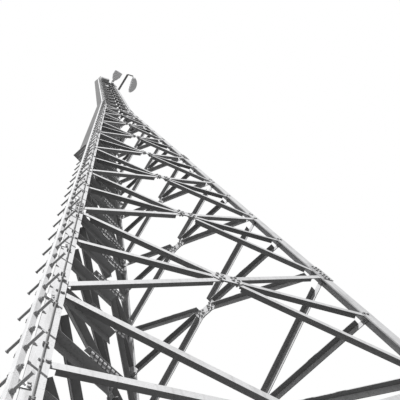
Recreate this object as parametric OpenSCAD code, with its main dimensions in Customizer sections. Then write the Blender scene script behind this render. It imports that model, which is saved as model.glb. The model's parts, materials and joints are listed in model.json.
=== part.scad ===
// Self-supporting lattice tower on three legs.
// The faces taper from the feet to a waist and carry a slimmer, steeper mast head.
// X runs across the front face, Y runs from the front face to the back leg, Z is up.
// The origin lies under the middle of the back leg's foot plate.

/* [Overall] */
// Side of the triangle between the leg corners at the ground
base_side = 4250; // [3600:50:5000]
// Side of the triangle where the taper ends
waist_side = 1060; // [900:10:1250]
// Side of the triangle at the top of the legs
top_side = 850; // [720:10:1000]
// Height at which the taper ends
waist_height = 25800; // [22000:100:28500]
// Height of the mast head above the waist
head_height = 10400; // [8600:100:11500]

/* [Legs] */
// Width of each flange of a leg
leg_flange = 125; // [110:5:150]
// Thickness of a leg flange
leg_thickness = 14; // [10:1:18]
// Width of each flange of a mast head leg
head_flange = 100; // [85:5:120]
// Thickness of a mast head leg flange
head_thickness = 10; // [8:1:14]

// Length of a splice cover along its leg
splice_length = 440; // [360:10:520]
// Thickness of a splice cover
splice_thickness = 10; // [8:1:12]

/* [Bracing] */
// Width of a brace in the plane of its face
brace_width = 75; // [60:5:100]
// Depth of the outstanding flange of a brace
brace_depth = 75; // [60:5:90]
// Thickness of a brace
brace_thickness = 8; // [6:1:12]
// Width of a mast head brace
head_brace_width = 55; // [45:5:65]
// Depth of a mast head brace
head_brace_depth = 45; // [35:5:55]
// Thickness of a mast head brace
head_brace_thickness = 6; // [4:1:8]
// Width of a crossing gusset along its face
gusset_width = 320; // [280:10:380]
// Height of a crossing gusset
gusset_height = 210; // [180:10:250]
// Thickness of a gusset
gusset_thickness = 10; // [8:1:14]
// Width of a mast head gusset
head_gusset_width = 130; // [110:5:150]
// Height of a mast head gusset
head_gusset_height = 90; // [80:5:110]
// Thickness of a mast head gusset
head_gusset_thickness = 8; // [6:1:10]

/* [Feet] */
// Side of a square foot plate
foot_side = 440; // [400:10:520]
// Thickness of a foot plate
foot_thickness = 40; // [25:5:60]
// Diameter of the circle of anchor bolt holes
anchor_circle = 480; // [450:10:540]
// Radius of an anchor bolt hole
anchor_hole_r = 17; // [13:1:20]
// Height of a foot rib
foot_rib_height = 240; // [180:10:320]

/* [Climbing ladder] */
// Distance between pegs on the same side
peg_pitch = 500; // [420:10:600]
// Length of a peg outside the ladder rail
peg_length = 150; // [130:5:180]
// Diameter of a peg
peg_diameter = 20; // [16:1:24]
// Width of the ladder rail
rail_width = 44; // [36:2:56]
// Depth of the ladder rail
rail_depth = 40; // [30:2:50]

/* [Cable tray] */
// Width of the cable tray
tray_width = 220; // [180:10:240]
// Thickness of the cable tray's sheet
tray_thickness = 4; // [3:0.5:6]
// Side of the rest platform
platform_side = 300; // [260:10:340]
// Height of the rest platform above the ground
platform_height = 14000; // [13600:100:14400]

/* [Antennas] */
// Diameter of the drum antenna
drum_diameter = 400; // [340:10:460]
// Diameter of the dish reflector
dish_diameter = 740; // [640:10:800]
// Depth of the dish reflector's bowl
dish_depth = 200; // [160:10:220]
// Reach of the outrigger arm in front of its leg
arm_reach = 800; // [700:10:860]

/* [Hidden] */

root3 = sqrt(3);
FRONT = 0;
RIGHT = 1;
LEFT = 2;
FRONT_LEFT = 0;
FRONT_RIGHT = 1;
BACK = 2;

// Heights of the brace panels, from the feet to the waist, as shares of the taper
panel_shares = [3300, 2600, 2600, 2600, 2600, 2600, 2600, 2600, 2100, 1700];
foot_clear = 500;
share_total = list_sum(panel_shares, len(panel_shares));
panel_scale = (waist_height - foot_clear) / share_total;
levels = [for (k = [0 : len(panel_shares)]) foot_clear + panel_scale * list_sum(panel_shares, k)];
splice_lower = levels[3];
splice_middle = levels[6];
top_height = waist_height + head_height;
head_panels = 10;
head_levels = [for (k = [0 : head_panels]) waist_height + head_height * k / head_panels];

// Lean of a leg and of a face from the vertical, below and above the waist
leg_lean = atan((base_side - waist_side) / root3 / waist_height);
face_lean = atan((base_side - waist_side) / (2 * root3) / waist_height);
head_leg_lean = atan((waist_side - top_side) / root3 / head_height);
head_face_lean = atan((waist_side - top_side) / (2 * root3) / head_height);

// Distance from a leg corner to the line on which braces are bolted
gauge = leg_flange * 0.6;
head_gauge = head_flange * 0.6;
// Length of a brace past its last bolt line
end_margin = 30;
head_end_margin = 20;
// Half of the step between two diagonals that meet on a leg
node_step = 0.7 * (brace_width + end_margin) + 10;
head_node_step = 0.7 * (head_brace_width + head_end_margin) + 6;
// Distance by which an outstanding flange stops short of what it meets
cope = 45;
foot_rib_reach = 100;
foot_rib_thickness = 12;
// Gap between the leg corner and the ladder rail
rail_gap = 32;
// The lowest peg, and the distances of rail brackets from a splice and from each other
first_peg = 910;
bracket_start = 450;
bracket_pitch = 1300;
bracket_height = 70;
bracket_thickness = 6;
saddle_flange = 50;
peg_head_diameter = 1.35 * peg_diameter;
peg_head = 6;
// Room between the rail and the tray beside it, the height of the tray's side walls,
// and the open joint between its two lengths
tray_gap = 6;
tray_wall = 40;
tray_joint = 4;
platform_sheet = 5;
platform_rim = 30;
// Round wire that earths the antennas, and its place on the front flange
conductor_diameter = 10;
conductor_gauge = 72;
conductor_standoff = 15;
// Rim of the frame at the top of the legs
top_frame_rim = 160;
top_frame_thickness = 12;
// Flat bars across the front legs, and the pipe of the drum antenna on them
bar_height = 50;
bar_thickness = 10;
pipe_diameter = 60;
pipe_x = 210;
pipe_standoff = 70;
drum_bars = [top_height - 1300, top_height - 500];
drum_z = top_height - 620;
drum_turn = 15;
// Box that collects the antenna leads
box_width = 380;
box_height = 700;
box_depth = 150;
box_x = -340;
// Outrigger arm on the front right leg and the dish at its end
arm_z = top_height - 2600;
arm_width = 90;
arm_tip_width = 50;
arm_depth = 80;
arm_side_step = 200;
dish_wall = 6;
dish_shroud = 90;
dish_offset = 260;
feed_length = 150;
feed_diameter = 45;

function list_sum(v, n) = n == 0 ? 0 : v[n - 1] + list_sum(v, n - 1);
function side_at(z) = z <= waist_height
    ? base_side - (base_side - waist_side) * z / waist_height
    : waist_side - (waist_side - top_side) * (z - waist_height) / head_height;
function along(p, q, d) = p + (q - p) * d / norm(q - p);
// Flange directions lie exactly in the two leaning faces that meet on the leg
function half_angle(lean) = atan(tan(30) / cos(lean));

// Moves the tower axis so that the back leg's foot plate stands on the origin
module on_site() {
    translate([0, -(base_side / root3 - foot_inset()), 0]) children();
}
function foot_inset() = leg_flange * 0.5;

// Frame of a leg: X outward, Z up along the corner line that starts at height z0
module leg_frame(corner, z0, lean) {
    rotate([0, 0, 210 + 120 * corner])
        translate([side_at(z0) / root3, 0, z0])
            rotate([0, -lean, 0])
                children();
}

// Frame of a face: X along the face, Y up the face, Z outward, from height z0
module face_frame(face, z0, lean) {
    rotate([0, 0, 120 * face])
        translate([0, -side_at(z0) / (2 * root3), z0])
            rotate([90 - lean, 0, 0])
                children();
}

// Bent plate section of a leg, its corner on the origin and its flanges inward
module leg_section(flange, thick, lean) {
    a = half_angle(lean);
    tip = [-flange * cos(a), flange * sin(a)];
    back = [-thick * sin(a), -thick * cos(a)];
    polygon([
        [0, 0],
        tip,
        tip + back,
        [-thick / sin(a), 0],
        [tip.x + back.x, -tip.y - back.y],
        [tip.x, -tip.y]
    ]);
}

// Leg between two horizontal cuts
module leg(corner, z0, z1, base_z, lean, flange, thick) {
    run = (z1 - base_z) / cos(lean);
    intersection() {
        leg_frame(corner, base_z, lean)
            translate([0, 0, -flange])
                linear_extrude(run + 2 * flange)
                    leg_section(flange, thick, lean);
        translate([-base_side, -base_side, z0])
            cube([2 * base_side, 2 * base_side, z1 - z0]);
    }
}

module lower_leg(corner) {
    color("gainsboro") on_site()
        leg(corner, foot_thickness, splice_lower, 0, leg_lean, leg_flange, leg_thickness);
}

module middle_leg(corner) {
    color("gainsboro") on_site()
        leg(corner, splice_lower, splice_middle, 0, leg_lean, leg_flange, leg_thickness);
}

module upper_leg(corner) {
    color("gainsboro") on_site()
        leg(corner, splice_middle, waist_height, 0, leg_lean, leg_flange, leg_thickness);
}

module head_leg(corner) {
    color("gainsboro") on_site()
        leg(corner, waist_height, top_height, waist_height, head_leg_lean, head_flange, head_thickness);
}

// Foot plate with its circle of anchor bolt holes and a rib up each flange of its leg
module foot(corner) {
    color("darkgray") on_site() {
        rotate([0, 0, 210 + 120 * corner])
            translate([base_side / root3 - foot_inset(), 0, 0])
                difference() {
                    translate([-foot_side / 2, -foot_side / 2, 0])
                        cube([foot_side, foot_side, foot_thickness]);
                    for (k = [0 : 3])
                        rotate([0, 0, 45 + 90 * k])
                            translate([anchor_circle / 2, 0, -1])
                                cylinder(r = anchor_hole_r, h = foot_thickness + 2);
                }
        foot_rib(corner, -1);
        foot_rib((corner + 2) % 3, 1);
    }
}

// Rib that stands on a foot plate against the outside of a leg flange
module foot_rib(face, side) {
    intersection() {
        face_frame(face, 0, face_lean)
            translate([side * (side_at(foot_thickness) / 2 - gauge) - foot_rib_thickness / 2, 0, 0])
                rotate([90, 0, 90])
                    linear_extrude(foot_rib_thickness)
                        polygon([
                            [0, 0], [0, foot_rib_reach], [foot_thickness + 30, foot_rib_reach],
                            [foot_rib_height, 25], [foot_rib_height, 0]
                        ]);
        translate([-base_side, -base_side, foot_thickness / 2])
            cube([2 * base_side, 2 * base_side, 2 * foot_rib_height]);
    }
}

// Bent cover plate outside a leg corner
module cover_section(flange, thick, lean) {
    a = half_angle(lean);
    tip = [-flange * cos(a), flange * sin(a)];
    out = [thick * sin(a), thick * cos(a)];
    polygon([
        [0, 0],
        tip,
        tip + out,
        [thick / sin(a), 0],
        [tip.x + out.x, -tip.y - out.y],
        [tip.x, -tip.y]
    ]);
}

// Cover plate over a joint of two leg lengths at height z
module splice_cover(corner, z) {
    leg_frame(corner, z, leg_lean)
        translate([0, 0, -splice_length / 2])
            linear_extrude(splice_length)
                cover_section(leg_flange - 8, splice_thickness, leg_lean);
}

// Cover plate over the waist, cut level where the two slopes meet
module waist_cover(corner) {
    half = splice_length / 2;
    intersection() {
        leg_frame(corner, waist_height, leg_lean)
            translate([0, 0, -half])
                linear_extrude(2 * half)
                    cover_section(head_flange - 8, splice_thickness, leg_lean);
        translate([-base_side, -base_side, waist_height - 2 * half])
            cube([2 * base_side, 2 * base_side, 2 * half]);
    }
    intersection() {
        leg_frame(corner, waist_height, head_leg_lean)
            translate([0, 0, -half])
                linear_extrude(2 * half)
                    cover_section(head_flange - 8, splice_thickness, head_leg_lean);
        translate([-base_side, -base_side, waist_height])
            cube([2 * base_side, 2 * base_side, 2 * half]);
    }
}

module leg_splice_plates() {
    color("darkgray") on_site()
        for (corner = [FRONT_LEFT : BACK]) {
            splice_cover(corner, splice_lower);
            splice_cover(corner, splice_middle);
            waist_cover(corner);
        }
}

// Outline of the flat of a brace from p to q, both ends longer by margin
module brace_outline(p, q, width, margin) {
    translate(p)
        rotate(atan2(q.y - p.y, q.x - p.x))
            translate([-margin, -width / 2])
                square([norm(q - p) + 2 * margin, width]);
}

// Outstanding flange of a brace, along the upper edge of its flat
module brace_fin(p, q, width, depth, thick) {
    translate([p.x, p.y, 0])
        rotate([0, 0, atan2(q.y - p.y, q.x - p.x)])
            translate([0, width / 2 - thick, -depth])
                cube([norm(q - p), thick, depth - thick / 2]);
}

// Plate with its corners cut off
module gusset(width, height, thick) {
    cut = height / 4;
    linear_extrude(thick)
        polygon([
            [-width / 2, -height / 2 + cut], [-width / 2 + cut, -height / 2],
            [width / 2 - cut, -height / 2], [width / 2, -height / 2 + cut],
            [width / 2, height / 2 - cut], [width / 2 - cut, height / 2],
            [-width / 2 + cut, height / 2], [-width / 2, height / 2 - cut]
        ]);
}

// Ends of the three braces of a panel between heights v0 and v1 up the face:
// two diagonals and the horizontal through their crossing. x0 and x1 are the bolt lines.
function panel_crossing(v0, v1, x0, x1, step) =
    [0, v0 + step + (v1 - v0 - 2 * step) * x0 / (x0 + x1)];
function panel_lines(v0, v1, x0, x1, step) =
    let (c = panel_crossing(v0, v1, x0, x1, step),
         x_mid = x0 + (x1 - x0) * (c.y - v0) / (v1 - v0))
    [
        [[-x0, v0 + step], [x1, v1 - step]],
        [[-x1, v1 - step], [x0, v0 + step]],
        [[-x_mid, c.y], [x_mid, c.y]]
    ];

// Face bracing of several panels, each given as [v0, v1, x0, x1], its flats fused
// where they cross and joined by a gusset at every crossing. The ends are cut parallel to the legs.
module face_bracing(panels, width, depth, thick, flange, bolt_line, step, margin, plate) {
    low = panels[0];
    high = panels[len(panels) - 1];
    translate([0, 0, -thick])
        linear_extrude(thick)
            intersection() {
                union()
                    for (p = panels)
                        for (line = panel_lines(p[0], p[1], p[2], p[3], step))
                            brace_outline(line[0], line[1], width, margin);
                polygon([
                    [-low[2] - margin, low[0]], [low[2] + margin, low[0]],
                    [high[3] + margin, high[1]], [-high[3] - margin, high[1]]
                ]);
            }
    for (p = panels) {
        crossing = panel_crossing(p[0], p[1], p[2], p[3], step);
        for (line = panel_lines(p[0], p[1], p[2], p[3], step)) {
            slope = norm(line[1] - line[0]) / (line[1].x - line[0].x);
            leg_stop = (flange - bolt_line + cope) * slope + width / 2 * sqrt(slope * slope - 1);
            core_stop = plate.x / 2;
            brace_fin(along(line[0], crossing, leg_stop), along(crossing, line[0], core_stop), width, depth, thick);
            brace_fin(along(crossing, line[1], core_stop), along(line[1], crossing, leg_stop), width, depth, thick);
        }
        translate([crossing.x, crossing.y, -thick / 2])
            gusset(plate.x, plate.y, plate.z + thick / 2);
    }
}

// Braced panels of one face from level a to level b
module bracing(face, a, b) {
    panels = [for (k = [a : b - 1]) [
        levels[k] / cos(face_lean), levels[k + 1] / cos(face_lean),
        side_at(levels[k]) / 2 - gauge, side_at(levels[k + 1]) / 2 - gauge
    ]];
    color("silver") on_site()
        face_frame(face, 0, face_lean)
            translate([0, 0, -leg_thickness])
                face_bracing(
                    panels, brace_width, brace_depth, brace_thickness, leg_flange, gauge,
                    node_step, end_margin, [gusset_width, gusset_height, gusset_thickness]
                );
}

module head_bracing(face) {
    panels = [for (k = [0 : head_panels - 1]) [
        (head_levels[k] - waist_height) / cos(head_face_lean),
        (head_levels[k + 1] - waist_height) / cos(head_face_lean),
        side_at(head_levels[k]) / 2 - head_gauge, side_at(head_levels[k + 1]) / 2 - head_gauge
    ]];
    color("silver") on_site()
        face_frame(face, waist_height, head_face_lean)
            translate([0, 0, -head_thickness])
                face_bracing(
                    panels, head_brace_width, head_brace_depth, head_brace_thickness, head_flange,
                    head_gauge, head_node_step, head_end_margin, [head_gusset_width, head_gusset_height, head_gusset_thickness]
                );
}

// Ladder on the corner of the front left leg: one rail with pegs on both sides below the
// rest platform, and on its front side above it, where the cable tray takes the other side
module ladder(z0, z1, base_z, lean) {
    run0 = (z0 - base_z) / cos(lean);
    run1 = (z1 - base_z) / cos(lean);
    color("darkgray") on_site() {
        intersection() {
            leg_frame(FRONT_LEFT, base_z, lean)
                translate([rail_gap, -rail_width / 2, run0 - rail_depth])
                    cube([rail_depth, rail_width, run1 - run0 + 2 * rail_depth]);
            translate([-base_side, -base_side, z0])
                cube([2 * base_side, 2 * base_side, z1 - z0]);
        }
        leg_frame(FRONT_LEFT, base_z, lean) {
            for (k = [ceil((z0 + peg_diameter - first_peg) / peg_pitch * 2) : floor((z1 - peg_diameter - first_peg) / peg_pitch * 2)])
                if (k >= 0 && (k % 2 == 1 || first_peg + k * peg_pitch / 2 < platform_height))
                    translate([rail_gap + rail_depth / 2, 0, (first_peg + k * peg_pitch / 2 - base_z) / cos(lean)])
                        rotate([k % 2 == 0 ? 90 : -90, 0, 0])
                            peg();
            for (run = [run0 + bracket_start : bracket_pitch : run1 - bracket_start])
                translate([0, 0, run])
                    rail_bracket(lean, base_z + run * cos(lean) > platform_height);
        }
    }
}

// Peg with a round head, from the middle of the rail outward along Z
module peg() {
    cylinder(d = peg_diameter, h = rail_width / 2 + peg_length);
    translate([0, 0, rail_width / 2 + peg_length - peg_head])
        cylinder(d = peg_head_diameter, h = peg_head);
}

// Bent saddle on the leg corner with a web to the rail, and an arm that carries the tray
module rail_bracket(lean, with_tray) {
    translate([0, 0, -bracket_height / 2]) {
        linear_extrude(bracket_height) {
            cover_section(saddle_flange, bracket_thickness, lean);
            translate([bracket_thickness, -bracket_thickness / 2])
                square([rail_gap - bracket_thickness / 2, bracket_thickness]);
        }
        if (with_tray)
            translate([rail_gap - 2 * bracket_thickness, -rail_width / 2 - tray_gap - tray_width, 0])
                cube([bracket_thickness, rail_width / 2 + tray_gap + tray_width, bracket_height / 2]);
    }
}

// Folded tray, its open side towards the tower
module tray_section() {
    inner = rail_gap - bracket_thickness;
    translate([inner, -rail_width / 2 - tray_gap - tray_width])
        difference() {
            square([tray_wall, tray_width]);
            translate([-1, tray_thickness])
                square([tray_wall + 1 - tray_thickness, tray_width - 2 * tray_thickness]);
        }
}

module tray_run(z0, z1, base_z, lean) {
    intersection() {
        leg_frame(FRONT_LEFT, base_z, lean)
            translate([0, 0, (z0 - base_z) / cos(lean) - tray_width])
                linear_extrude((z1 - z0) / cos(lean) + 2 * tray_width)
                    tray_section();
        translate([-base_side, -base_side, z0])
            cube([2 * base_side, 2 * base_side, z1 - z0]);
    }
}

// Cable tray from the rest platform to the top, bent at the waist
module cable_tray() {
    color("lightslategray") on_site() {
        tray_run(platform_height, waist_height - tray_joint, 0, leg_lean);
        tray_run(waist_height, top_height, waist_height, head_leg_lean);
    }
}

// Plate with a folded rim beside the ladder rail, trimmed along the left face of the tower
module platform_blank(inset, height) {
    outer = rail_gap + rail_depth + platform_rim;
    difference() {
        translate([outer - platform_side + inset, -rail_width / 2 - tray_gap - platform_side + inset, 0])
            cube([platform_side - 2 * inset, platform_side - 2 * inset, height]);
        rotate([0, 0, -60])
            translate([-2 * platform_side, -2 * platform_side, -1])
                cube([2 * platform_side + bracket_thickness + inset, 4 * platform_side, height + 2]);
    }
}
module rest_platform() {
    color("slategray") on_site()
        rotate([0, 0, 210])
            translate([side_at(platform_height) / root3, 0, platform_height - platform_rim]) {
                difference() {
                    platform_blank(0, platform_rim);
                    translate([0, 0, -platform_sheet])
                        platform_blank(platform_sheet, platform_rim);
                }
                translate([rail_gap + platform_sheet, -rail_width / 2 - tray_gap - 1, 0])
                    cube([rail_depth - 2 * platform_sheet, tray_gap + 1, platform_rim]);
            }
}

// Point of a face given along the face, up its slope and outward, in the tower's own frame
function face_point(face, base_z, lean, p) =
    let (r = side_at(base_z) / (2 * root3),
         y = -r + p.y * sin(lean) - p.z * cos(lean),
         z = base_z + p.y * cos(lean) + p.z * sin(lean))
    [p.x * cos(120 * face) - y * sin(120 * face), p.x * sin(120 * face) + y * cos(120 * face), z];

// Rings of a round wire along a route, each ring in the plane that halves the bend
function wire_rings(route, d, sides) = [
    for (k = [0 : len(route) - 1])
        let (a = route[max(k - 1, 0)],
             b = route[min(k + 1, len(route) - 1)],
             t = (b - a) / norm(b - a),
             u = cross(t, [0.3, 1, 0.2]) / norm(cross(t, [0.3, 1, 0.2])),
             v = cross(t, u))
        for (m = [0 : sides - 1])
            route[k] + d / 2 * (u * cos(360 * m / sides) + v * sin(360 * m / sides))
];
module wire(route, d, sides) {
    n = len(route);
    polyhedron(
        points = wire_rings(route, d, sides),
        faces = concat(
            [[for (m = [0 : sides - 1]) m]],
            [for (k = [0 : n - 2], m = [0 : sides - 1]) [
                k * sides + m,
                (k + 1) * sides + m,
                (k + 1) * sides + (m + 1) % sides
            ]],
            [for (k = [0 : n - 2], m = [0 : sides - 1]) [
                k * sides + m,
                (k + 1) * sides + (m + 1) % sides,
                k * sides + (m + 1) % sides
            ]],
            [[for (m = [sides - 1 : -1 : 0]) (n - 1) * sides + m]]
        )
    );
}

// Earth wire from the foot up the front flange of the front left leg to the top
function conductor_point(z) = z <= waist_height
    ? face_point(FRONT, 0, face_lean,
        [-side_at(z) / 2 + conductor_gauge, z / cos(face_lean), conductor_standoff])
    : face_point(FRONT, waist_height, head_face_lean,
        [-side_at(z) / 2 + conductor_gauge, (z - waist_height) / cos(head_face_lean), conductor_standoff]);
module earth_conductor() {
    color("dimgray") on_site()
        wire([
            conductor_point(foot_rib_height + conductor_diameter / 2),
            conductor_point(2 * foot_rib_height),
            conductor_point(waist_height - 2 * conductor_gauge),
            conductor_point(waist_height + 2 * conductor_gauge),
            conductor_point(top_height - rail_depth)
        ], conductor_diameter, 8);
}

// Triangular plate with an open middle that ties the tops of the legs
module head_top_frame() {
    rim = top_side / root3;
    color("darkgray") on_site()
        translate([0, 0, top_height])
            rotate([0, 0, 90])
                difference() {
                    cylinder(r = rim, h = top_frame_thickness, $fn = 3);
                    translate([0, 0, -1])
                        cylinder(r = rim - 2 * top_frame_rim, h = top_frame_thickness + 2, $fn = 3);
                }
}

// Flat bar across the outside of the two front legs at height z
module front_bar(z) {
    reach = side_at(z) / 2 - 25;
    face_frame(FRONT, waist_height, head_face_lean)
        translate([-reach, (z - waist_height) / cos(head_face_lean), 0])
            cube([2 * reach, bar_height, bar_thickness]);
}

// Distance of the front face from the tower axis at height z
function front_y(z) = -side_at(z) / (2 * root3);

// Two bars, two standoffs and an upright pipe
module drum_antenna_mount() {
    standoff = pipe_standoff + pipe_diameter / 2;
    color("darkgray") on_site() {
        for (z = drum_bars) {
            front_bar(z);
            translate([pipe_x - bar_height / 2, front_y(z) - bar_thickness / 2 - standoff, z])
                cube([bar_height, standoff, bar_height]);
        }
        translate([pipe_x, front_y(drum_bars[0]) - bar_thickness - standoff, drum_bars[0] - 2 * bar_height])
            cylinder(d = pipe_diameter, h = drum_bars[1] - drum_bars[0] + 5 * bar_height);
    }
}

// Drum with a conical back, its short neck against the pipe
module drum_antenna() {
    r = drum_diameter / 2;
    color("gainsboro") on_site()
        translate([pipe_x, front_y(drum_bars[0]) - bar_thickness - pipe_standoff - pipe_diameter / 2, drum_z])
            rotate([90, 0, drum_turn])
                translate([0, 0, pipe_diameter / 2])
                    rotate_extrude()
                        polygon([
                            [0, 0], [0.28 * r, 0], [0.28 * r, 0.5 * r], [0.5 * r, 0.6 * r],
                            [0.97 * r, 1.6 * r], [r, 1.65 * r], [r, 2.75 * r], [0.92 * r, 2.85 * r], [0, 2.95 * r]
                        ]);
}

// Box on its own bar, its back against the bars of the drum mount
module head_junction_box() {
    rise = (head_height - box_height - bar_height) / cos(head_face_lean);
    color("slategray") on_site() {
        front_bar(top_height - 2.5 * bar_height);
        face_frame(FRONT, waist_height, head_face_lean)
            translate([box_x, rise, bar_thickness])
                cube([box_width, box_height, box_depth]);
    }
}

// Clamp on the front right leg, and an arm that reaches forward and turns to the right
function arm_root() =
    let (r = side_at(arm_z) / root3)
    [r * cos(330) + 1, r * sin(330) - 4];
function arm_elbow() = arm_root() + [arm_side_step, -arm_reach];
function dish_centre() = [arm_elbow().x + dish_offset, arm_elbow().y - arm_tip_width / 2 + arm_tip_width + dish_diameter / 2];
module outrigger_arm() {
    color("darkgray") on_site() {
        leg_frame(FRONT_RIGHT, waist_height, head_leg_lean)
            translate([0, 0, (arm_z - waist_height) / cos(head_leg_lean) - arm_depth])
                linear_extrude(2 * arm_depth)
                    cover_section(head_flange - 15, 8, head_leg_lean);
        translate([0, 0, arm_z - arm_depth / 2])
            linear_extrude(arm_depth) {
                brace_outline(arm_root(), arm_elbow(), arm_width, 0);
                brace_outline(arm_elbow(), arm_elbow() + [dish_offset, 0], arm_tip_width, 0);
            }
    }
}

// Bowl with a short shroud and a feed tube, facing left
module dish_reflector() {
    rim = dish_diameter / 2;
    ball = (rim * rim + dish_depth * dish_depth) / (2 * dish_depth);
    color("lightgray") on_site()
        translate([dish_centre().x, dish_centre().y, arm_z])
            rotate([0, 90, 0]) {
                difference() {
                    cylinder(r = rim, h = dish_shroud);
                    translate([0, 0, -1])
                        cylinder(r = rim - dish_wall, h = dish_shroud + 2);
                }
                difference() {
                    intersection() {
                        translate([0, 0, dish_shroud + dish_depth - ball])
                            sphere(r = ball);
                        translate([-rim, -rim, dish_shroud])
                            cube([2 * rim, 2 * rim, dish_depth]);
                    }
                    translate([0, 0, dish_shroud + dish_depth - ball])
                        sphere(r = ball - dish_wall);
                }
                translate([0, 0, dish_shroud + dish_depth - dish_wall / 2 - feed_length])
                    cylinder(d = feed_diameter, h = feed_length);
            }
}

foot(FRONT_LEFT);  // front_left_foot
foot(FRONT_RIGHT);  // front_right_foot
foot(BACK);  // back_foot
lower_leg(FRONT_LEFT);  // front_left_leg_lower
lower_leg(FRONT_RIGHT);  // front_right_leg_lower
lower_leg(BACK);  // back_leg_lower
middle_leg(FRONT_LEFT);  // front_left_leg_middle
middle_leg(FRONT_RIGHT);  // front_right_leg_middle
middle_leg(BACK);  // back_leg_middle
upper_leg(FRONT_LEFT);  // front_left_leg_upper
upper_leg(FRONT_RIGHT);  // front_right_leg_upper
upper_leg(BACK);  // back_leg_upper
head_leg(FRONT_LEFT);  // front_left_head_leg
head_leg(FRONT_RIGHT);  // front_right_head_leg
head_leg(BACK);  // back_head_leg
bracing(FRONT, 0, 1);  // front_bottom_bracing
bracing(RIGHT, 0, 1);  // right_bottom_bracing
bracing(LEFT, 0, 1);  // left_bottom_bracing
bracing(FRONT, 1, 3);  // front_lower_bracing
bracing(RIGHT, 1, 3);  // right_lower_bracing
bracing(LEFT, 1, 3);  // left_lower_bracing
bracing(FRONT, 3, 6);  // front_middle_bracing
bracing(RIGHT, 3, 6);  // right_middle_bracing
bracing(LEFT, 3, 6);  // left_middle_bracing
bracing(FRONT, 6, 10);  // front_upper_bracing
bracing(RIGHT, 6, 10);  // right_upper_bracing
bracing(LEFT, 6, 10);  // left_upper_bracing
head_bracing(FRONT);  // front_head_bracing
head_bracing(RIGHT);  // right_head_bracing
head_bracing(LEFT);  // left_head_bracing
leg_splice_plates();
head_top_frame();
ladder(foot_clear, splice_lower, 0, leg_lean);  // climbing_ladder_lower
ladder(splice_lower, splice_middle, 0, leg_lean);  // climbing_ladder_middle
ladder(splice_middle, waist_height, 0, leg_lean);  // climbing_ladder_upper
ladder(waist_height, top_height, waist_height, head_leg_lean);  // climbing_ladder_head
cable_tray();
rest_platform();
earth_conductor();
drum_antenna();
drum_antenna_mount();
dish_reflector();
outrigger_arm();
head_junction_box();
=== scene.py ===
import json
import math
import random

import bmesh
import bpy
import numpy as np
from mathutils import Matrix, Vector


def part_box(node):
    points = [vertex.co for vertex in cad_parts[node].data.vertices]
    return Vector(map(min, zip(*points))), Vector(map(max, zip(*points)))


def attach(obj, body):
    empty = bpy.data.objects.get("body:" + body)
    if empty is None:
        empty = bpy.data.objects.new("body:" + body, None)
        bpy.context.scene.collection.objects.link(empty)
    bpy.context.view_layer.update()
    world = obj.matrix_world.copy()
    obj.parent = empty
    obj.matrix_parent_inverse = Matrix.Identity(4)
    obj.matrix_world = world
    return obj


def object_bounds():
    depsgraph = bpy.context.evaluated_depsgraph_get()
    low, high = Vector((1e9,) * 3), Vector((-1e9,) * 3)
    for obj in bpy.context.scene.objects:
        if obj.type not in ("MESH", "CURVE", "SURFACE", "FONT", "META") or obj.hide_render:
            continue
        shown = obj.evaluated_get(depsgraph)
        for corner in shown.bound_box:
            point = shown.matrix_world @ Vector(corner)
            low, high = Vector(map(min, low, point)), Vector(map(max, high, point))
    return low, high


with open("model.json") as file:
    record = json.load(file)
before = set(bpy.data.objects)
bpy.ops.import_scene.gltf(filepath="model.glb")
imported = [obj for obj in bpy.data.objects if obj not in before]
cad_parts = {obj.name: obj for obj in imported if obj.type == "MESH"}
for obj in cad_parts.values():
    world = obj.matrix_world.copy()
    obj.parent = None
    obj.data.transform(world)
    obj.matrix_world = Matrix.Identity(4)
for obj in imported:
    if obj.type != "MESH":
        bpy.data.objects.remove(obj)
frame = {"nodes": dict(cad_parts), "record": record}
cadLow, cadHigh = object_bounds()
nodes = frame["nodes"]
record = frame["record"]
print("frame loaded:", len(nodes), "nodes")

# The tower's own measures, read from the frame

faceNames = ("front", "right", "left")
cornerNames = ("front_left", "front_right", "back")
firstCorner = 210  # degrees from the x axis to the front left leg
thirdTurn = 120
bracingLevels = ("bottom", "lower", "middle", "upper", "head")


def measureTower():
    mounts = {mount["name"]: mount["pos_m"] for mount in record["mounts"]}
    feet = [Vector(mounts[name + "_foot_face"]) for name in cornerNames]
    axis = sum(feet, Vector()) / 3
    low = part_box("front_left_leg_lower")[0]
    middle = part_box("front_left_leg_middle")[0]
    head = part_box("front_left_head_leg")
    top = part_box("head_top_frame")
    slope = 2 * (middle.x - low.x) / (middle.z - low.z)
    return {
        "axis": axis,
        "base": -2 * low.x + slope * low.z,
        "slope": slope,
        "waist": head[0].z,
        "top": top[0].z,
        "waistSide": -2 * head[0].x,
        "topSide": top[1].x - top[0].x,
    }


tower = measureTower()


def sideAt(z):
    if z <= tower["waist"]:
        return tower["base"] - tower["slope"] * z
    part = (z - tower["waist"]) / (tower["top"] - tower["waist"])
    return tower["waistSide"] + part * (tower["topSide"] - tower["waistSide"])


def faceLean(z):
    if z <= tower["waist"]:
        return math.atan(tower["slope"] / (2 * math.sqrt(3)))
    change = (tower["waistSide"] - tower["topSide"]) / (tower["top"] - tower["waist"])
    return math.atan(change / (2 * math.sqrt(3)))


def faceTurn(face):
    return Matrix.Rotation(math.radians(thirdTurn * face), 3, "Z")


def cornerAngle(corner):
    return math.radians(firstCorner + thirdTurn * corner)


def faceAxes(face, z):
    turn = faceTurn(face)
    lean = faceLean(z)
    return (
        turn @ Vector((1, 0, 0)),
        turn @ Vector((0, math.sin(lean), math.cos(lean))),
        turn @ Vector((0, -math.cos(lean), math.sin(lean))),
    )


# A point of a face: x along it, z the height, out the distance outside its plane
def facePoint(face, x, z, out=0.0):
    along, _, outward = faceAxes(face, z)
    toFace = faceTurn(face) @ Vector((0, -sideAt(z) / (2 * math.sqrt(3)), 0))
    return tower["axis"] + toFace + Vector((0, 0, z)) + along * x + outward * out


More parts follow.
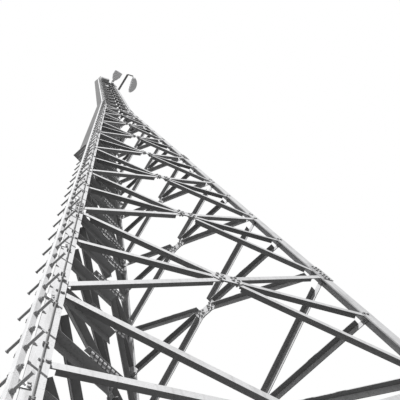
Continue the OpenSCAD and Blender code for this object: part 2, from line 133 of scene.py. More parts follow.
# A point near a leg corner: out along the corner's bisector, across it and at a height
def cornerPoint(corner, out, across, z):
    angle = cornerAngle(corner)
    reach = sideAt(z) / math.sqrt(3) + out
    outward = Vector((math.cos(angle), math.sin(angle), 0))
    sideways = Vector((-math.sin(angle), math.cos(angle), 0))
    return tower["axis"] + outward * reach + sideways * across + Vector((0, 0, z))


# Camera: close to the front left leg, looking steeply up the front face

cameraSettings = {
    "eyeHeight": 1.66,
    "leftOfAxis": 2.033,
    "beforeAxis": 2.894,
    "azimuth": 50.05,
    "elevation": 72.11,
    "roll": -32.64,
    "lens": 60.68,
    "sensor": 36,
    "near": 0.05,
    "far": 500,
}


def makeCamera(settings):
    data = bpy.data.cameras.new("studioCamera")
    data.sensor_width = settings["sensor"]
    data.lens = settings["lens"]
    data.clip_start = settings["near"]
    data.clip_end = settings["far"]
    camera = bpy.data.objects.new("studioCamera", data)
    bpy.context.scene.collection.objects.link(camera)
    azimuth = math.radians(settings["azimuth"])
    elevation = math.radians(settings["elevation"])
    roll = math.radians(settings["roll"])
    forward = Vector((
        math.sin(azimuth) * math.cos(elevation),
        math.cos(azimuth) * math.cos(elevation),
        math.sin(elevation),
    ))
    levelRight = Vector((math.cos(azimuth), -math.sin(azimuth), 0))
    levelUp = levelRight.cross(forward)
    right = math.cos(roll) * levelRight + math.sin(roll) * levelUp
    up = math.cos(roll) * levelUp - math.sin(roll) * levelRight
    place = Vector((
        tower["axis"].x - settings["leftOfAxis"],
        tower["axis"].y - settings["beforeAxis"],
        settings["eyeHeight"],
    ))
    camera.matrix_world = Matrix((
        (right.x, up.x, -forward.x, place.x),
        (right.y, up.y, -forward.y, place.y),
        (right.z, up.z, -forward.z, place.z),
        (0, 0, 0, 1),
    ))
    bpy.context.scene.camera = camera
    return camera


makeCamera(cameraSettings)
print("camera placed")

# Shader node groups


def newGroup(name, inputs, outputs):
    group = bpy.data.node_groups.new(name, "ShaderNodeTree")
    for label, kind, value in inputs:
        socket = group.interface.new_socket(name=label, in_out="INPUT", socket_type=kind)
        if value is not None:
            socket.default_value = value
    for label, kind in outputs:
        group.interface.new_socket(name=label, in_out="OUTPUT", socket_type=kind)
    return group


# Adds a node, sets its properties, and fills its inputs with values or links
def put(tree, kind, inputs=None, **properties):
    node = tree.nodes.new(kind)
    for key, value in properties.items():
        setattr(node, key, value)
    for key, value in (inputs or {}).items():
        socket = node.inputs[key]
        if isinstance(value, bpy.types.NodeSocket):
            tree.links.new(value, socket)
        else:
            socket.default_value = value
    return node


def blend(tree, factor, low, high):
    node = put(tree, "ShaderNodeMix", data_type="RGBA")
    for index, value in ((0, factor), (6, low), (7, high)):
        socket = node.inputs[index]
        if isinstance(value, bpy.types.NodeSocket):
            tree.links.new(value, socket)
        else:
            socket.default_value = value
    return node.outputs[2]


def remap(tree, value, fromLow, fromHigh, toLow, toHigh):
    return put(tree, "ShaderNodeMapRange", {
        "Value": value, "From Min": fromLow, "From Max": fromHigh, "To Min": toLow, "To Max": toHigh,
    }).outputs[0]


def calc(tree, operation, first, second=0.0):
    return put(tree, "ShaderNodeMath", {0: first, 1: second}, operation=operation).outputs[0]


# Hot-dip zinc: spangle, cloudy patches, rain streaks, and painted shade that darkens faces turned downwards
def zincSkinGroup():
    tree = newGroup("zincSkin", (
        ("Light", "NodeSocketColor", (0.7, 0.7, 0.7, 1)),
        ("Dark", "NodeSocketColor", (0.45, 0.45, 0.45, 1)),
        ("Spangle Density", "NodeSocketFloat", 70.0),
        ("Streaks", "NodeSocketFloat", 0.3),
        ("Grime", "NodeSocketFloat", 0.3),
        ("Under Shade", "NodeSocketFloat", 0.5),
    ), (("Colour", "NodeSocketColor"), ("Roughness", "NodeSocketFloat"), ("Relief", "NodeSocketFloat")))
    given = put(tree, "NodeGroupInput").outputs
    place = put(tree, "ShaderNodeTexCoord").outputs["Object"]
    spangle = put(tree, "ShaderNodeTexVoronoi", {"Vector": place, "Scale": given["Spangle Density"]})
    flake = put(tree, "ShaderNodeSeparateColor", {"Color": spangle.outputs["Color"]}).outputs[0]
    cloud = put(tree, "ShaderNodeTexNoise", {
        "Vector": place, "Scale": 2.3, "Detail": 6.0, "Roughness": 0.62,
    }).outputs[0]
    stretched = put(tree, "ShaderNodeMapping", {"Vector": place, "Scale": (26.0, 26.0, 1.1)}).outputs[0]
    streak = put(tree, "ShaderNodeTexNoise", {"Vector": stretched, "Scale": 1.0, "Detail": 4.0}).outputs[0]
    speck = put(tree, "ShaderNodeTexNoise", {"Vector": place, "Scale": 95.0, "Detail": 3.0}).outputs[0]
    tone = calc(tree, "ADD", remap(tree, cloud, 0.35, 0.68, 0.0, 0.7), calc(tree, "MULTIPLY", flake, 0.3))
    plain = blend(tree, tone, given["Dark"], given["Light"])
    streakMask = calc(tree, "MULTIPLY", remap(tree, streak, 0.52, 0.7, 0.0, 1.0), given["Streaks"])
    streaked = blend(tree, streakMask, plain, (0.24, 0.235, 0.23, 1))
    speckled = remap(tree, calc(tree, "MULTIPLY", speck, cloud), 0.3, 0.42, 0.0, 1.0)
    speckMask = calc(tree, "MULTIPLY", speckled, given["Grime"])
    grimy = blend(tree, speckMask, streaked, (0.13, 0.125, 0.12, 1))
    surface = put(tree, "ShaderNodeNewGeometry")
    up = put(tree, "ShaderNodeSeparateXYZ", {0: surface.outputs["Normal"]}).outputs[2]
    # Painted shade: faces whose normal points down are darkened towards (0.1, 0.1, 0.1), as much as Under
    # Shade says
    paintedUnderShade = calc(tree, "MULTIPLY", remap(tree, up, -0.25, -0.85, 0.0, 1.0), given["Under Shade"])
    shaded = blend(tree, paintedUnderShade, grimy, (0.1, 0.1, 0.1, 1))
    rough = calc(tree, "ADD", remap(tree, cloud, 0.3, 0.7, 0.56, 0.76), calc(tree, "MULTIPLY", flake, 0.08))
    relief = calc(tree, "ADD", calc(tree, "MULTIPLY", speck, 0.6), calc(tree, "MULTIPLY", flake, 0.4))
    put(tree, "NodeGroupOutput", {"Colour": shaded, "Roughness": rough, "Relief": relief})
    return tree


# Weathered paint or plastic: chalky fading, rain marks and settled dust
def weatherFilmGroup():
    tree = newGroup("weatherFilm", (
        ("Base", "NodeSocketColor", (0.5, 0.5, 0.5, 1)),
        ("Fade", "NodeSocketFloat", 0.3),
        ("Dust", "NodeSocketFloat", 0.3),
    ), (("Colour", "NodeSocketColor"), ("Roughness", "NodeSocketFloat"), ("Relief", "NodeSocketFloat")))
    given = put(tree, "NodeGroupInput").outputs
    place = put(tree, "ShaderNodeTexCoord").outputs["Object"]
    patch = put(tree, "ShaderNodeTexNoise", {"Vector": place, "Scale": 3.1, "Detail": 5.0}).outputs[0]
    grain = put(tree, "ShaderNodeTexNoise", {"Vector": place, "Scale": 160.0, "Detail": 3.0}).outputs[0]
    stretched = put(tree, "ShaderNodeMapping", {"Vector": place, "Scale": (34.0, 34.0, 2.0)}).outputs[0]
    streak = put(tree, "ShaderNodeTexNoise", {"Vector": stretched, "Scale": 1.0, "Detail": 3.0}).outputs[0]
    fade = calc(tree, "MULTIPLY", remap(tree, patch, 0.4, 0.65, 0.0, 1.0), given["Fade"])
    faded = blend(tree, fade, given["Base"], (0.62, 0.62, 0.61, 1))
    marks = calc(tree, "MULTIPLY", remap(tree, streak, 0.55, 0.72, 0.0, 1.0), given["Dust"])
    marked = blend(tree, marks, faded, (0.16, 0.155, 0.15, 1))
    rough = remap(tree, calc(tree, "ADD", patch, calc(tree, "MULTIPLY", grain, 0.4)), 0.4, 1.0, 0.68, 0.92)
    put(tree, "NodeGroupOutput", {"Colour": marked, "Roughness": rough, "Relief": grain})
    return tree


zincSkin = zincSkinGroup()
weatherFilm = weatherFilmGroup()


# A material whose colour, roughness and bump come from one of the groups
def groupMaterial(name, group, values, metallic, bump, specular=0.5):
    material = bpy.data.materials.new(name)
    material.use_nodes = True
    tree = material.node_tree
    shader = tree.nodes["Principled BSDF"]
    skin = put(tree, "ShaderNodeGroup", node_tree=group)
    for key, value in values.items():
        skin.inputs[key].default_value = value
    tree.links.new(skin.outputs["Colour"], shader.inputs["Base Color"])
    tree.links.new(skin.outputs["Roughness"], shader.inputs["Roughness"])
    relief = put(tree, "ShaderNodeBump", {
        "Height": skin.outputs["Relief"], "Strength": bump, "Distance": 0.002,
    })
    tree.links.new(relief.outputs[0], shader.inputs["Normal"])
    shader.inputs["Metallic"].default_value = metallic
    shader.inputs["Specular IOR Level"].default_value = specular
    return material


def grey(value):
    return (value, value, value * 1.01, 1)


# In each finish, Under Shade sets how much painted shade darkens the faces turned downwards
finishes = {
    "leg_steel": (zincSkin, {"Light": grey(0.7), "Dark": grey(0.5), "Spangle Density": 60.0,
                             "Streaks": 0.3, "Grime": 0.4, "Under Shade": 0.85}, 0.3, 0.25),
    "brace_steel": (zincSkin, {"Light": grey(0.72), "Dark": grey(0.52), "Spangle Density": 80.0,
                               "Streaks": 0.25, "Grime": 0.4, "Under Shade": 0.9}, 0.3, 0.25),
    "splice_plates": (zincSkin, {"Light": grey(0.66), "Dark": grey(0.48), "Spangle Density": 90.0,
                                 "Streaks": 0.3, "Grime": 0.4, "Under Shade": 0.6}, 0.35, 0.3),
    "foot_plates": (zincSkin, {"Light": grey(0.55), "Dark": grey(0.38), "Spangle Density": 70.0,
                               "Streaks": 0.4, "Grime": 0.7, "Under Shade": 0.3}, 0.3, 0.4),
    "fitting_steel": (zincSkin, {"Light": grey(0.55), "Dark": grey(0.38), "Spangle Density": 100.0,
                                 "Streaks": 0.3, "Grime": 0.4, "Under Shade": 0.6}, 0.35, 0.3),
    # ladder_steel is a brighter copy of the galvanised steel: painted light, so the rail looks as lit as the
    # leg's flange
    "ladder_steel": (zincSkin, {"Light": grey(0.95), "Dark": grey(0.8), "Spangle Density": 110.0,
                                "Streaks": 0.3, "Grime": 0.5, "Under Shade": 0.7}, 0.3, 0.3),
    # The tray's very dark base (0.15) is painted shade, standing for the shaded grey band beside the front
    # left leg
    "tray_steel": (weatherFilm, {"Base": grey(0.15), "Fade": 0.12, "Dust": 0.35}, 0.1, 0.2),
    "grey_boxes": (weatherFilm, {"Base": grey(0.34), "Fade": 0.25, "Dust": 0.3}, 0.0, 0.2),
    "earth_wire": (weatherFilm, {"Base": grey(0.25), "Fade": 0.2, "Dust": 0.4}, 0.4, 0.2),
    "antenna_shell": (weatherFilm, {"Base": grey(0.95), "Fade": 0.1, "Dust": 0.3}, 0.0, 0.15),
    "reflector_sheet": (weatherFilm, {"Base": grey(0.95), "Fade": 0.1, "Dust": 0.3}, 0.0, 0.2),
    "bolt_steel": (zincSkin, {"Light": grey(0.62), "Dark": grey(0.4), "Spangle Density": 240.0,
                              "Streaks": 0.1, "Grime": 0.5, "Under Shade": 0.4}, 0.45, 0.3),
    "arm_steel": (zincSkin, {"Light": grey(0.42), "Dark": grey(0.28), "Spangle Density": 120.0,
                             "Streaks": 0.3, "Grime": 0.5, "Under Shade": 0.4}, 0.3, 0.3),
    # A darker copy of the zinc for the mast head's bracing: painted shade
    "shaded_head_steel": (zincSkin, {"Light": grey(0.34), "Dark": grey(0.22), "Spangle Density": 120.0,
                              "Streaks": 0.3, "Grime": 0.5, "Under Shade": 0.6}, 0.3, 0.25),
    "cleat_steel": (zincSkin, {"Light": grey(0.85), "Dark": grey(0.7), "Spangle Density": 200.0,
                               "Streaks": 0.1, "Grime": 0.2, "Under Shade": 0.0}, 0.2, 0.2),
}
materials = {name: groupMaterial(name, *finish) for name, finish in finishes.items()}

# The mast head's bracing gets a darker copy of the steel: painted shade, so the head looks less lit than the
# rest
for subpart in record["subparts"]:
    shown = nodes[subpart["node"]]
    finish = "shaded_head_steel" if subpart["node"].endswith("head_bracing") else subpart["material_slot"]
    shown.data.materials.clear()
    shown.data.materials.append(materials[finish])
print("materials:", len(materials))

# Small parts are collected as plain lists and turned into one mesh a group


# Closed turned solid: rings of (radius, height), bottom to top
def turned(rings, sides, start=0.0):
    points, faces = [], []
    for radius, height in rings:
        for k in range(sides):
            angle = start + 2 * math.pi * k / sides
            points.append((radius * math.cos(angle), radius * math.sin(angle), height))
    for ring in range(len(rings) - 1):
        for k in range(sides):
            a, b = ring * sides + k, ring * sides + (k + 1) % sides
            faces.append((a, b, b + sides, a + sides))
    faces.append(tuple(range(sides - 1, -1, -1)))
    faces.append(tuple((len(rings) - 1) * sides + k for k in range(sides)))
    return points, faces


def joined(solids):
    points, faces = [], []
    for somePoints, someFaces in solids:
        base = len(points)
        points.extend(somePoints)
        faces.extend(tuple(i + base for i in face) for face in someFaces)
    return points, faces


# Radii and heights of a bolt, as shares of its size
hexBolt = {
    "washer": 1.1, "washerTop": 0.16, "hex": 0.92, "chamfer": 0.78, "headSide": 0.66, "headTop": 0.8,
    "nutSide": 0.8, "nutEnd": 0.95, "thread": 0.5, "threadSide": 1.4, "threadTip": 0.42, "threadEnd": 1.5,
}


# Hexagon bolt through a grip: head and washer above zero, nut and thread end below
def boltShape(size, grip):
    part = {key: value * size for key, value in hexBolt.items()}
    return joined([
        turned([(part["washer"], 0.0), (part["washer"], part["washerTop"])], 12),
        turned([
            (part["hex"], part["washerTop"]), (part["hex"], part["headSide"]),
            (part["chamfer"], part["headTop"]),
        ], 6),
        turned([
            (part["chamfer"], -grip - part["nutEnd"]), (part["hex"], -grip - part["nutSide"]),
            (part["hex"], -grip),
        ], 6),
        turned([
            (part["threadTip"], -grip - part["threadEnd"]), (part["thread"], -grip - part["threadSide"]),
            (part["thread"], -grip - part["nutEnd"]),
        ], 8),
    ])


def placed(shape, origin, axis, twist=0.0):
    points, faces = shape
    frameTurn = Vector(axis).to_track_quat("Z", "Y").to_matrix() @ Matrix.Rotation(twist, 3, "Z")
    turn = np.array(frameTurn)
    moved = np.array(points) @ turn.T + np.array(origin)
    return [tuple(point) for point in moved], faces


def makePiece(name, shape, finish):
    points, faces = shape
    mesh = bpy.data.meshes.new(name)
    mesh.from_pydata(points, [], faces)
    mesh.validate()
    work = bmesh.new()
    work.from_mesh(mesh)
    bmesh.ops.recalc_face_normals(work, faces=work.faces)
    work.to_mesh(mesh)
    work.free()
    piece = bpy.data.objects.new(name, mesh)
    bpy.context.scene.collection.objects.link(piece)
    mesh.materials.append(materials[finish])
    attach(piece, "root")
    return piece


# Connected solids of a CAD node, as arrays of points
def islandsOf(node):
    mesh = nodes[node].data
    points = np.empty(len(mesh.vertices) * 3)
    mesh.vertices.foreach_get("co", points)
    points = points.reshape(-1, 3)
    keys, merged = {}, np.empty(len(points), dtype=int)
    for i, point in enumerate(np.round(points, 4)):
        merged[i] = keys.setdefault(tuple(point), len(keys))
    parent = list(range(len(keys)))

    def root(i):
        while parent[i] != i:
            parent[i] = parent[parent[i]]
            i = parent[i]
        return i

    for edge in mesh.edges:
        a, b = (root(merged[i]) for i in edge.vertices)
        if a != b:
            parent[a] = b
    groups = {}
    for key, index in keys.items():
        groups.setdefault(root(index), []).append(key)
    return [np.array(group) for group in groups.values()]


# Height, place along the face and distance outside the face of some points
def inFaceTerms(face, points):
    turn = np.array(faceTurn(-face))
    local = (points - np.array(tower["axis"])) @ turn.T
    z = points[:, 2]
    side = np.array([sideAt(value) for value in z])
    lean = np.array([faceLean(value) for value in z])
    return local[:, 0], z, (-local[:, 1] - side / (2 * math.sqrt(3))) * np.cos(lean)


# Bolts where braces meet legs and where they cross

braceBolts = {
    "size": 0.018, "headSize": 0.012,
    "fromEnd": (0.024, 0.066), "headFromEnd": (0.022,),
    "onGusset": (0.062, 0.118), "headOnGusset": (0.046,),
    "plateTolerance": 0.0008, "endTolerance": 0.003, "endSpread": 0.16,
}


# The two bolts of every brace end and those of the gusset, for one solid of one face
def braceBoltPlaces(face, points):
    x, z, out = inFaceTerms(face, points)
    side = np.array([sideAt(value) for value in z])
    toCorner = side / 2 - np.abs(x)
    atPlate = out > out.max() - braceBolts["plateTolerance"]
    crossing = (float(x[atPlate].mean()), float((z[atPlate].min() + z[atPlate].max()) / 2))
    atEnd = toCorner < toCorner.min() + braceBolts["endTolerance"]
    ends = []
    for sign in (-1, 1):
        heights = sorted(z[atEnd & (np.sign(x) == sign)])
        cluster = [heights[0]]
        for value in heights[1:] + [math.inf]:
            if value - cluster[-1] > braceBolts["endSpread"]:
                ends.append((sign, (min(cluster) + max(cluster)) / 2))
                cluster = []
            cluster.append(value)
    return crossing, ends, float(toCorner.min()), float(out.max()), float(out[atEnd].min())


def boltsOfBracing(level):
    head = level == "head"
    size = braceBolts["headSize" if head else "size"]
    fromEnd = braceBolts["headFromEnd" if head else "fromEnd"]
    onGusset = braceBolts["headOnGusset" if head else "onGusset"]
    solids = []
    for face, faceName in enumerate(faceNames):
        for points in islandsOf(f"{faceName}_{level}_bracing"):
            crossing, ends, endGap, plateOut, backOut = braceBoltPlaces(face, points)
            outward = faceAxes(face, crossing[1])[2]
            legBolt = boltShape(size, -backOut)
            plateBolt = boltShape(size, plateOut - backOut)
            for sign, z in ends:
                start = Vector((sign * (sideAt(z) / 2 - endGap), z))
                way = (Vector(crossing) - start).normalized()
                for distance in fromEnd:
                    spot = start + way * distance
                    twist = random.uniform(0, math.pi)
                    solids.append(placed(legBolt, facePoint(face, spot.x, spot.y), outward, twist))
                for distance in onGusset:
                    spot = Vector(crossing) - way * distance
                    twist = random.uniform(0, math.pi)
                    seat = facePoint(face, spot.x, spot.y, plateOut)
                    solids.append(placed(plateBolt, seat, outward, twist))
    return joined(solids), len(solids)


random.seed(7)
boltTotal = 0
for level in bracingLevels:
    shape, count = boltsOfBracing(level)
    boltTotal += count
    # The mast head's bracing bolts take the darker arm steel: painted shade, like the head's bracing
    boltFinish = "arm_steel" if level == "head" else "bolt_steel"
    makePiece(f"bolts_{level}_bracing", shape, boltFinish)
print("brace bolts:", boltTotal)

# Bolts of the leg splices

spliceBolts = {
    "size": 0.018, "rows": (0.042, 0.092), "columns": (0.055, 0.125, 0.19), "headRow": (0.05,),
    "legThickness": 0.014, "nearWaist": 0.1,
}


def spliceBoltShapes():
    solids = []
    for points in islandsOf("leg_splice_plates"):
        low, high = points.min(axis=0), points.max(axis=0)
        middle = (low + high) / 2
        zMiddle = float(middle[2])
        flat = Vector((float(middle[0]), float(middle[1]), 0)) - Vector((tower["axis"].x, tower["axis"].y, 0))
        corner = round((math.degrees(math.atan2(flat.y, flat.x)) - firstCorner) / thirdTurn) % 3
        atWaist = abs(zMiddle - tower["waist"]) < spliceBolts["nearWaist"]
        for face, sign in ((corner, -1), ((corner + 2) % 3, 1)):
            _, z, out = inFaceTerms(face, points)
            thickness = float(out.max())
            shape = boltShape(spliceBolts["size"], thickness + spliceBolts["legThickness"])
            for row in spliceBolts["headRow" if atWaist else "rows"]:
                for column in spliceBolts["columns"]:
                    for z in (zMiddle - column, zMiddle + column):
                        spot = facePoint(face, sign * (sideAt(z) / 2 - row), z, thickness)
                        solids.append(placed(shape, spot, faceAxes(face, z)[2], random.uniform(0, math.pi)))
    return joined(solids)


makePiece("bolts_splices", spliceBoltShapes(), "bolt_steel")

# Anchor studs with nuts on the feet

anchorStud = {"size": 0.03, "standing": 0.075, "tip": 0.004}


def anchorShapes():
    size, standing = anchorStud["size"], anchorStud["standing"]
    stud = joined([
        turned([(1.2 * size, 0.0), (1.2 * size, 0.14 * size)], 16),
        turned([(0.92 * size, 0.14 * size), (0.92 * size, 0.95 * size), (0.8 * size, 1.05 * size)], 6),
        turned([
            (0.5 * size, 1.05 * size), (0.5 * size, standing), (0.4 * size, standing + anchorStud["tip"]),
        ], 12),
    ])
    solids = []
    for corner, name in enumerate(cornerNames):
        mount = next(item for item in record["mounts"] if item["name"] == name + "_anchor_holes")
        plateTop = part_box(name + "_leg_lower")[0].z
        radius = mount["dims"]["pcd_mm"] / 2000
        for k in range(4):
            angle = cornerAngle(corner) + math.radians(45 + 90 * k)
            reach = Vector((radius * math.cos(angle), radius * math.sin(angle), plateTop))
            spot = Vector(mount["pos_m"]) + reach
            solids.append(placed(stud, spot, (0, 0, 1), random.uniform(0, math.pi)))
    return joined(solids)


makePiece("anchor_studs", anchorShapes(), "bolt_steel")
print("splice bolts and anchors done")

# Ladder: nuts at the peg roots, bolts in the saddles, clips on the earth wire


def legAxes(corner, z):
    angle = cornerAngle(corner)
    flat = Vector((math.cos(angle), math.sin(angle), 0))
    lean = math.atan(2 * math.tan(faceLean(z)))
    upright = Vector((0, 0, 1))
    return (
        flat * math.cos(lean) + upright * math.sin(lean),
        Vector((-math.sin(angle), math.cos(angle), 0)),
        upright * math.cos(lean) - flat * math.sin(lean),
    )


# A point beside a leg: out from its corner line, across it, at a height of that line
def legPoint(corner, out, across, z):
    outward, sideways, _ = legAxes(corner, z)
    return cornerPoint(corner, 0, 0, z) + outward * out + sideways * across


ladder = {
    "gap": 0.032, "width": 0.044, "depth": 0.04,
    "firstPeg": 0.91, "pegStep": 0.25, "pegSize": 0.02, "platformGap": 0.02,
    "saddleStart": 0.45, "saddlePitch": 1.3,
}
pegNutHeights = {"washer": 0.004, "side": 0.02, "top": 0.024, "endSide": 0.034, "end": 0.037}


def pegNut():
    size, height = ladder["pegSize"], pegNutHeights
    nut = [(0.86 * size, height["washer"]), (0.86 * size, height["side"]), (0.76 * size, height["top"])]
    return joined([turned([(size, 0.0), (size, height["washer"])], 14), turned(nut, 6)])


def pegEnd():
    size, height = ladder["pegSize"], pegNutHeights
    stub = [(0.46 * size, height["top"]), (0.46 * size, height["endSide"]), (0.36 * size, height["end"])]
    return joined([pegNut(), turned(stub, 10)])


def pegFittings():
    solids = []
    middle = ladder["gap"] + ladder["depth"] / 2
    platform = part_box("rest_platform")[1].z
    count = int((tower["top"] - ladder["firstPeg"]) / ladder["pegStep"])
    for k in range(count + 1):
        z = ladder["firstPeg"] + k * ladder["pegStep"]
        onRight = k % 2 == 1
        if not onRight and z > platform - ladder["platformGap"]:
            continue
        _, sideways, _ = legAxes(0, z)
        for sign in (-1, 1):
            atRoot = onRight == (sign == 1)
            shape = pegNut() if atRoot else pegEnd()
            spot = legPoint(0, middle, sign * ladder["width"] / 2, z)
            solids.append(placed(shape, spot, sideways * sign, random.uniform(0, math.pi)))
    return joined(solids)


makePiece("peg_nuts", pegFittings(), "bolt_steel")

saddleBolt = {"size": 0.012, "across": 0.042, "lift": 0.018, "grip": 0.02, "plate": 0.006}


def saddleHeights():
    heights = []
    for part in ("lower", "middle", "upper", "head"):
        low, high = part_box("climbing_ladder_" + part)
        lean = math.atan(2 * math.tan(faceLean((low.z + high.z) / 2)))
        run, last = ladder["saddleStart"], (high.z - low.z) / math.cos(lean) - ladder["saddleStart"]
        while run <= last + 0.001:
            heights.append(low.z + run * math.cos(lean))
            run += ladder["saddlePitch"]
    return heights


def saddleShapes():
    solids = []
    shape = boltShape(saddleBolt["size"], saddleBolt["grip"])
    for z in saddleHeights():
        for face, sign in ((0, -1), (2, 1)):
            outward = faceAxes(face, z)[2]
            across = sign * (sideAt(z) / 2 - saddleBolt["across"])
            for lift in (-saddleBolt["lift"], saddleBolt["lift"]):
                spot = facePoint(face, across, z + lift, saddleBolt["plate"])
                solids.append(placed(shape, spot, outward, random.uniform(0, math.pi)))
    return joined(solids)


makePiece("bolts_saddles", saddleShapes(), "bolt_steel")

wireClip = {
    "gauge": 0.072, "first": 0.8, "pitch": 0.65, "belowTop": 0.1, "waistClear": 0.3,
    "half": (0.017, 0.012, 0.009), "seat": 0.003, "screwAcross": 0.012, "screwSize": 0.006, "screwGrip": 0.03,
}


# Block given by its middle, its three axes and its half sizes
def block(middle, axes, half):
    arms = [axis * reach for axis, reach in zip(axes, half)]
    points = []
    for i in (-1, 1):
        for j in (-1, 1):
            for k in (-1, 1):
                points.append(tuple(Vector(middle) + arms[0] * i + arms[1] * j + arms[2] * k))
    faces = [(0, 1, 3, 2), (4, 6, 7, 5), (0, 4, 5, 1), (2, 3, 7, 6), (0, 2, 6, 4), (1, 5, 7, 3)]
    return points, faces


def clipShapes():
    solids = []
    z = wireClip["first"]
    out = wireClip["half"][2]
    while z < tower["top"] - wireClip["belowTop"]:
        if abs(z - tower["waist"]) > wireClip["waistClear"]:
            axes = faceAxes(0, z)
            across = -sideAt(z) / 2 + wireClip["gauge"]
            solids.append(block(facePoint(0, across, z, out + wireClip["seat"]), axes, wireClip["half"]))
            for sign in (-1, 1):
                spot = facePoint(0, across + sign * wireClip["screwAcross"], z, 2 * out + wireClip["seat"])
                screw = boltShape(wireClip["screwSize"], wireClip["screwGrip"])
                solids.append(placed(screw, spot, axes[2], random.uniform(0, math.pi)))
        z += wireClip["pitch"]
    return joined(solids)


makePiece("wire_clips", clipShapes(), "earth_wire")
print("ladder fittings done")

# Slotted cable arms that reach inward from the front left leg, one above another

cableArm = {
    "first": 1.7, "pitch": 0.8, "headPitch": 0.4, "last": 35.2, "waistClear": 0.25,
    "start": 0.075, "reach": 0.66, "headReach": 0.7, "flat": 0.075, "drop": 0.1, "sheet": 0.006,
    "lugIn": 0.02, "lug": (0.004, 0.012, 0.05), "overhang": 0.07,
    "teeth": 9, "toothPitch": 0.038, "toothSize": (0.011, 0.0045, 0.012), "toothRows": (0.012, 0.034),
    "toothLift": 0.004, "railPitches": 5.2, "railHalf": 0.022, "railSheet": 0.003, "railLift": 0.02,
}


def cableArmShapes():
    arms, teeth = [], []
    angle = cornerAngle(0)
    inward = -Vector((math.cos(angle), math.sin(angle), 0))
    sideways = Vector((-inward.y, inward.x, 0))
    upright = Vector((0, 0, 1))
    axes = (inward, sideways, upright)
    flat, drop, sheet, pitch = cableArm["flat"], cableArm["drop"], cableArm["sheet"], cableArm["toothPitch"]
    lugDepth, lugEdge, lugHeight = cableArm["lug"]
    z = cableArm["first"]
    while z < cableArm["last"]:
        onHead = z >= tower["waist"]
        if abs(z - tower["waist"]) > cableArm["waistClear"]:
            start = cornerPoint(0, 0, 0, z)
            reach = cableArm["headReach" if onHead else "reach"]
            tip = reach + cableArm["overhang"]
            middle = start + inward * (cableArm["start"] + reach) / 2
            half = (reach - cableArm["start"]) / 2
            flange = middle + sideways * (flat - sheet) / 2 - upright * (drop + sheet) / 2
            lug = start + inward * (cableArm["start"] + cableArm["lugIn"]) - upright * cableArm["lugIn"]
            arms.append(block(middle, axes, (half, flat / 2, sheet / 2)))
            arms.append(block(flange, axes, (half, sheet / 2, drop / 2)))
            arms.append(block(lug, axes, (lugDepth, flat / 2 + lugEdge, lugHeight)))
            for k in range(cableArm["teeth"]):
                for row in cableArm["toothRows"]:
                    spot = start + inward * (tip - k * pitch - row / 2)
                    spot += upright * cableArm["toothLift"] - sideways * (flat / 2 + row)
                    teeth.append(block(spot, axes, cableArm["toothSize"]))
            rail = start + inward * (tip - pitch * cableArm["teeth"] / 2)
            rail += upright * cableArm["railLift"] - sideways * (flat / 2 + cableArm["railHalf"])
            railSize = (cableArm["railPitches"] * pitch, cableArm["railHalf"], cableArm["railSheet"])
            arms.append(block(rail, axes, railSize))
        z += cableArm["headPitch" if onHead else "pitch"]
    return joined(arms), joined(teeth)


armShape, toothShape = cableArmShapes()
makePiece("cable_arms", armShape, "arm_steel")
makePiece("cable_arm_cleats", toothShape, "cleat_steel")
print("cable arms done")

# Mast head: box lid and glands, antenna clamps


junctionBox = {
    "left": -0.34, "width": 0.38, "height": 0.7, "below": 0.75, "front": 0.16, "lid": 0.008, "edge": 0.016,
    "fittingLift": 0.22, "hingeAcross": -0.175, "hingeOut": 0.01, "hinge": (0.012, 0.03, 0.011),
    "latchAcross": 0.165, "latchOut": 0.012, "latch": (0.02, 0.012, 0.008),
    "glands": (-0.29, -0.21, -0.13, -0.05), "glandOut": 0.085,
    "glandProfile": ((0.017, -0.004), (0.017, 0.016), (0.012, 0.02), (0.011, 0.034)),
}


def boxFittings():
    box = junctionBox
    low = tower["top"] - box["below"]
    middleX = box["left"] + box["width"] / 2
    z = low + box["height"] / 2
    axes = faceAxes(0, z)
    half = (box["width"] / 2 - box["edge"], box["height"] / 2 - box["edge"], box["lid"] / 2)
    lid = block(facePoint(0, middleX, z, box["front"] + box["lid"] / 2), axes, half)
    metal = []
    for lift in (-box["fittingLift"], box["fittingLift"]):
        for kind in ("hinge", "latch"):
            spot = facePoint(0, middleX + box[kind + "Across"], z + lift, box["front"] + box[kind + "Out"])
            metal.append(block(spot, axes, box[kind]))
    for x in box["glands"]:
        metal.append(placed(turned(box["glandProfile"], 12), facePoint(0, x, low, box["glandOut"]), -axes[1]))
    return lid, joined(metal)


lidShape, boxMetal = boxFittings()
makePiece("junction_box_lid", lidShape, "grey_boxes")
makePiece("junction_box_fittings", boxMetal, "bolt_steel")


drumClamp = {
    "pipeAcross": 0.21, "pipeOut": 0.03, "lift": 0.075, "stand": 0.036,
    "front": (0.05, 0.008, 0.018), "back": (0.05, 0.005, 0.018),
    "boltAcross": 0.04, "boltOut": 0.041, "boltSize": 0.01, "boltGrip": 0.082,
}


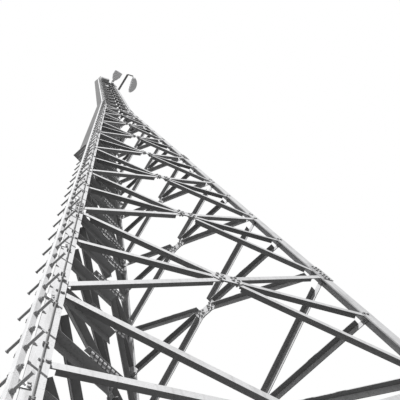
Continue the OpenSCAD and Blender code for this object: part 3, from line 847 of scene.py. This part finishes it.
# Strap clamps of the drum
def antennaFittings():
    metal = []
    drumLow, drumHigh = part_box("drum_antenna")
    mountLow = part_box("drum_antenna_mount")[0]
    pipe = Vector((tower["axis"].x + drumClamp["pipeAcross"], mountLow.y + drumClamp["pipeOut"], 0))
    plain = (Vector((1, 0, 0)), Vector((0, 1, 0)), Vector((0, 0, 1)))
    bolt = boltShape(drumClamp["boltSize"], drumClamp["boltGrip"])
    for lift in (-drumClamp["lift"], drumClamp["lift"]):
        z = (drumLow.z + drumHigh.z) / 2 + lift
        metal.append(block(pipe + Vector((0, -drumClamp["stand"], z)), plain, drumClamp["front"]))
        metal.append(block(pipe + Vector((0, drumClamp["stand"], z)), plain, drumClamp["back"]))
        for side in (-drumClamp["boltAcross"], drumClamp["boltAcross"]):
            metal.append(placed(bolt, pipe + Vector((side, drumClamp["boltOut"], z)), (0, 1, 0)))
    return joined(metal)


makePiece("antenna_clamps", antennaFittings(), "bolt_steel")
print("mast head fittings done")

# Light, floor and backdrop colour

studio = {
    "sunStrength": 4.5, "sunAngle": 1.2, "sunFrom": (-0.3, -0.6, 0.74),
    "ambient": 0.27, "floorRadius": 5.0, "floorDepth": 0.02, "floorTone": 0.5, "floorRoughness": 0.9,
}


def makeStudio():
    scene = bpy.context.scene
    scene.view_settings.view_transform = "Standard"
    scene.view_settings.look = "None"
    world = bpy.data.worlds.new("studio")
    scene.world = world
    world.use_nodes = True
    tree = world.node_tree
    tree.nodes.clear()
    seen = put(tree, "ShaderNodeBackground", {"Color": (1, 1, 1, 1), "Strength": 1.0})
    glow = put(tree, "ShaderNodeBackground", {"Color": (1, 1, 1, 1), "Strength": studio["ambient"]})
    ray = put(tree, "ShaderNodeLightPath").outputs["Is Camera Ray"]
    mix = put(tree, "ShaderNodeMixShader", {0: ray, 1: glow.outputs[0], 2: seen.outputs[0]})
    put(tree, "ShaderNodeOutputWorld", {0: mix.outputs[0]})
    sun = bpy.data.objects.new("sun", bpy.data.lights.new("sun", "SUN"))
    sun.data.energy = studio["sunStrength"]
    sun.data.angle = math.radians(studio["sunAngle"])
    sun.rotation_euler = Vector(studio["sunFrom"]).to_track_quat("Z", "Y").to_euler()
    scene.collection.objects.link(sun)
    floorMesh = bpy.data.meshes.new("floor")
    points, faces = turned([(studio["floorRadius"], -studio["floorDepth"]), (studio["floorRadius"], 0.0)], 96)
    floorMesh.from_pydata(points, [], faces)
    floor = bpy.data.objects.new("floor", floorMesh)
    floor.location = (tower["axis"].x, tower["axis"].y, cadLow[2])
    scene.collection.objects.link(floor)
    pale = bpy.data.materials.new("paleFloor")
    pale.use_nodes = True
    shader = pale.node_tree.nodes["Principled BSDF"]
    shader.inputs["Base Color"].default_value = (*[studio["floorTone"]] * 3, 1)
    shader.inputs["Roughness"].default_value = studio["floorRoughness"]
    floorMesh.materials.append(pale)


makeStudio()
print("studio ready")
